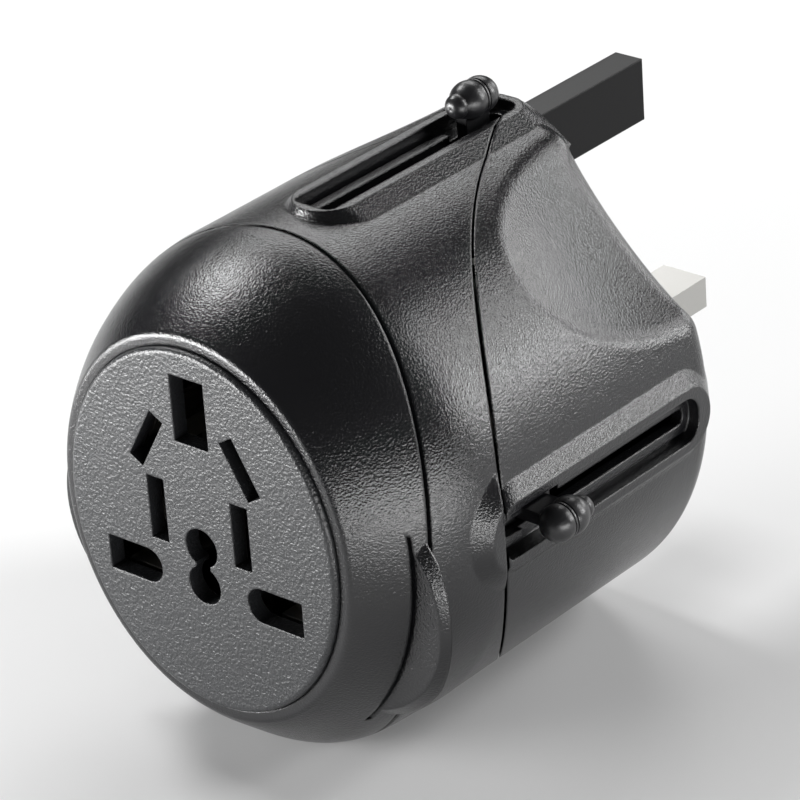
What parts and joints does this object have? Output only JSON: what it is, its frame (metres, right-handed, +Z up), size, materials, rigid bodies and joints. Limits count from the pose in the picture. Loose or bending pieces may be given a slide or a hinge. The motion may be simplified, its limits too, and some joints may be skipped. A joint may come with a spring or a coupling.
{
  "type": "travel adapter",
  "caption": "Oval black travel adapter with a multi-country socket face, plugs that slide out of the wall face, thumb knobs in raised rims and finger ears.",
  "frame": {"origin": "on the wall face, midway between the line and neutral pins of the rectangular plug", "axes": "+Y out of the wall face along the pins, +Z up towards the earth pin, +X to the right of someone who looks along +Y at the socket face"},
  "size_m": [0.0684, 0.0825, 0.068],
  "materials": {
    "shell_plastic": "fine spark-textured black polycarbonate",
    "face_plastic": "coarse spark-textured black polycarbonate",
    "inner_plastic": "plain dark nylon",
    "contact_metal": "stamped phosphor bronze",
    "screw_steel": "zinc-plated steel",
    "fuse_ceramic": "glazed ceramic",
    "fuse_metal": "nickel-plated brass",
    "earth_pin_plastic": "moulded black nylon",
    "pin_metal": "bright nickel plate on brass",
    "sleeve_plastic": "moulded black nylon",
    "knob_plastic": "smooth black polycarbonate",
    "spring_steel": "bare spring steel"
  },
  "bodies": {
    "body": {"front_cap": "shell_plastic", "middle_shell": "shell_plastic", "rear_shell": "shell_plastic", "socket_plate": "face_plastic", "chassis": "inner_plastic", "line_contact": "contact_metal", "neutral_contact": "contact_metal", "line_rail": "contact_metal", "neutral_rail": "contact_metal", "shell_screw_right": "screw_steel", "shell_screw_left": "screw_steel", "fuse_body": "fuse_ceramic", "fuse_cap_line": "fuse_metal", "fuse_cap_load": "fuse_metal", "fuse_clip_line": "fuse_metal", "fuse_clip_load": "fuse_metal"},
    "uk_carriage": {"uk_carrier": "inner_plastic", "uk_earth_pin": "earth_pin_plastic", "uk_line_pin": "pin_metal", "uk_neutral_pin": "pin_metal", "uk_line_sleeve": "sleeve_plastic", "uk_neutral_sleeve": "sleeve_plastic", "uk_knob_spring": "spring_steel"},
    "uk_button": {"uk_knob": "knob_plastic"},
    "eu_carriage": {"eu_carrier": "inner_plastic", "eu_line_pin": "pin_metal", "eu_neutral_pin": "pin_metal", "eu_line_sleeve": "sleeve_plastic", "eu_neutral_sleeve": "sleeve_plastic", "eu_knob_spring": "spring_steel"},
    "eu_button": {"eu_knob": "knob_plastic"},
    "us_carriage": {"us_carrier": "inner_plastic", "us_knob_spring": "spring_steel"},
    "us_button": {"us_knob": "knob_plastic"},
    "us_line_holder": {"us_line_rotor": "inner_plastic", "us_line_blade": "pin_metal"},
    "us_neutral_holder": {"us_neutral_rotor": "inner_plastic", "us_neutral_blade": "pin_metal"}
  },
  "joints": [
    {"name": "uk_slide", "type": "slide", "parent": "body", "child": "uk_carriage", "axis": [0, 1, 0], "range_m": [-0.0232, 0]},
    {"name": "uk_press", "type": "slide", "parent": "uk_carriage", "child": "uk_button", "axis": [0, 0, -1], "range_m": [0, 0.001], "stiffness_N_per_m": 800, "springref_m": -0.001, "deforming": ["uk_knob_spring"]},
    {"name": "eu_slide", "type": "slide", "parent": "body", "child": "eu_carriage", "axis": [0, 1, 0], "range_m": [0, 0.0195]},
    {"name": "eu_press", "type": "slide", "parent": "eu_carriage", "child": "eu_button", "axis": [-1, 0, 0], "range_m": [0, 0.001], "stiffness_N_per_m": 800, "springref_m": -0.001, "deforming": ["eu_knob_spring"]},
    {"name": "us_slide", "type": "slide", "parent": "body", "child": "us_carriage", "axis": [0, 1, 0], "range_m": [0, 0.0175]},
    {"name": "us_press", "type": "slide", "parent": "us_carriage", "child": "us_button", "axis": [1, 0, 0], "range_m": [0, 0.001], "stiffness_N_per_m": 800, "springref_m": -0.001, "deforming": ["us_knob_spring"]},
    {"name": "us_neutral_twist", "type": "hinge", "parent": "us_carriage", "child": "us_neutral_holder", "pos_m": [-0.00635, -0.0207, 0.01], "axis": [0, 1, 0], "range_deg": [0, 30]},
    {"name": "us_line_twist", "type": "hinge", "parent": "us_carriage", "child": "us_line_holder", "pos_m": [0.00635, -0.0207, 0.01], "axis": [0, 1, 0], "range_deg": [-30, 0]}
  ],
  "couplings": [
    {"joint": "us_line_twist", "follows": "us_neutral_twist", "ratio": -1}
  ]
}
